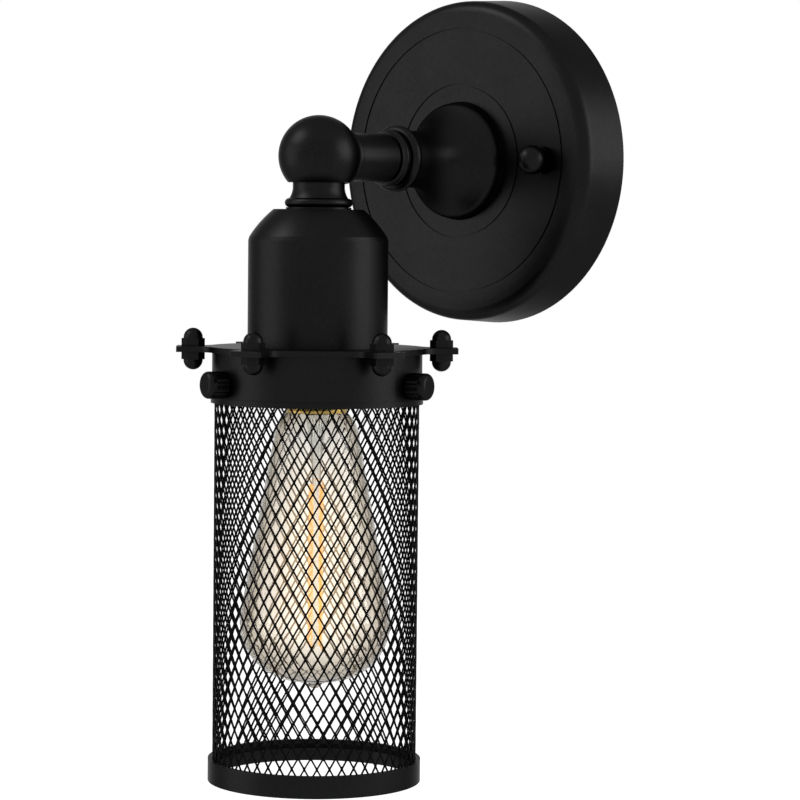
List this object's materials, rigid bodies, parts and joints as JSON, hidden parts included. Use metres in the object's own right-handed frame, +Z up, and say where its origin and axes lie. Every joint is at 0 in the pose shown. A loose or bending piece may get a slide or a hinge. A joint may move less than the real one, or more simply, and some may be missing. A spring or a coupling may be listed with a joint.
{
  "type": "cage wall light",
  "caption": "Wall light: round pan, straight arm and swivel ball that carry a socket cup and a slip-off mesh cage with thumb screws round a pear-shaped bulb.",
  "frame": {"origin": "centre of the pan's back on the wall, between the two box screws", "axes": "+Z up, +Y into the wall, so the light stands out towards -Y; +X is right when facing the wall"},
  "size_m": [0.142, 0.1725, 0.3314],
  "materials": {
    "black_coat": "satin",
    "strap_steel": "satin",
    "thread_steel": "satin",
    "wire_black": "satin",
    "socket_plastic": "satin",
    "brass": "satin",
    "lamp_glass": "gloss",
    "stem_glass": "gloss",
    "insulator": "gloss",
    "solder": "satin",
    "filament": "satin"
  },
  "bodies": {
    "wall_mount": {"backplate": "black_coat", "crossbar": "strap_steel", "ground_screw": "thread_steel", "mounting_studs": "thread_steel", "ball_nuts": "black_coat", "arm_nipple": "thread_steel", "arm_nipple_nut": "thread_steel", "arm_lock_washer": "thread_steel", "arm_flange": "black_coat", "arm_check_ring": "black_coat", "arm_tube": "black_coat", "arm_base_bushing": "brass", "arm_end_collar": "black_coat", "swivel_post": "thread_steel", "swivel_washer": "thread_steel", "swivel_nut": "thread_steel", "arm_leads": "wire_black"},
    "head": {"swivel_ball": "black_coat", "neck": "black_coat", "neck_check_ring": "black_coat", "neck_nipple": "thread_steel", "cup": "black_coat", "cup_washer": "thread_steel", "cup_nut": "thread_steel", "star_plate": "black_coat", "star_studs": "thread_steel", "star_top_nuts": "black_coat", "star_bottom_nuts": "black_coat", "fitter_ring": "black_coat", "shade_ring": "socket_plastic", "socket_cap": "socket_plastic", "socket_body": "socket_plastic", "socket_screw_shell": "brass", "socket_contact": "brass", "terminal_screws": "brass", "head_leads": "wire_black"},
    "cage": {"cage_top_band": "black_coat", "cage_mesh": "black_coat", "cage_bottom_band": "black_coat"},
    "bulb_contact": {"bulb_centre_contact": "solder"},
    "bulb": {"bulb_glass": "lamp_glass", "bulb_base_shell": "brass", "bulb_base_insulator": "insulator", "bulb_stem": "stem_glass", "bulb_supports": "thread_steel", "bulb_filament": "filament"},
    "thumb_screw_1": {"thumb_screw_1": "thread_steel"},
    "thumb_knob_1": {"thumb_knob_1": "black_coat"},
    "thumb_screw_2": {"thumb_screw_2": "thread_steel"},
    "thumb_knob_2": {"thumb_knob_2": "black_coat"},
    "thumb_screw_3": {"thumb_screw_3": "thread_steel"},
    "thumb_knob_3": {"thumb_knob_3": "black_coat"}
  },
  "joints": [
    {"name": "head_swivel", "type": "hinge", "parent": "wall_mount", "child": "head", "pos_m": [0, -0.1142, 0], "axis": [0, -1, 0], "range_deg": [-90, 90]},
    {"name": "cage_slide", "type": "slide", "parent": "head", "child": "cage", "axis": [0, 0, -1], "range_m": [0, 0.15]},
    {"name": "bulb_travel", "type": "slide", "parent": "head", "child": "bulb_contact", "axis": [0, 0, -1], "range_m": [0, 0.01815]},
    {"name": "bulb_turn", "type": "hinge", "parent": "bulb_contact", "child": "bulb", "pos_m": [0, -0.1142, -0.083], "axis": [0, 0, -1], "range_deg": [0, 1800]},
    {"name": "thumb_screw_1_travel", "type": "slide", "parent": "head", "child": "thumb_screw_1", "axis": [0.9728, 0.2317, 0], "range_m": [0, 0.0014]},
    {"name": "thumb_screw_1_turn", "type": "hinge", "parent": "thumb_screw_1", "child": "thumb_knob_1", "pos_m": [0.04319, -0.10391, -0.0941], "axis": [0.9728, 0.2317, 0], "range_deg": [0, 720]},
    {"name": "thumb_screw_2_travel", "type": "slide", "parent": "head", "child": "thumb_screw_2", "axis": [-0.6871, 0.7266, 0], "range_m": [0, 0.0014]},
    {"name": "thumb_screw_2_turn", "type": "hinge", "parent": "thumb_screw_2", "child": "thumb_knob_2", "pos_m": [-0.03051, -0.08194, -0.0941], "axis": [-0.6871, 0.7266, 0], "range_deg": [0, 720]},
    {"name": "thumb_screw_3_travel", "type": "slide", "parent": "head", "child": "thumb_screw_3", "axis": [-0.2857, -0.9583, 0], "range_m": [0, 0.0014]},
    {"name": "thumb_screw_3_turn", "type": "hinge", "parent": "thumb_screw_3", "child": "thumb_knob_3", "pos_m": [-0.01268, -0.15675, -0.0941], "axis": [-0.2857, -0.9583, 0], "range_deg": [0, 720]}
  ],
  "couplings": [
    {"joint": "bulb_turn", "follows": "bulb_travel", "rad_per_m": 1730.9},
    {"joint": "thumb_screw_1_turn", "follows": "thumb_screw_1_travel", "rad_per_m": 8975.9},
    {"joint": "thumb_screw_2_turn", "follows": "thumb_screw_2_travel", "rad_per_m": 8975.9},
    {"joint": "thumb_screw_3_turn", "follows": "thumb_screw_3_travel", "rad_per_m": 8975.9}
  ]
}
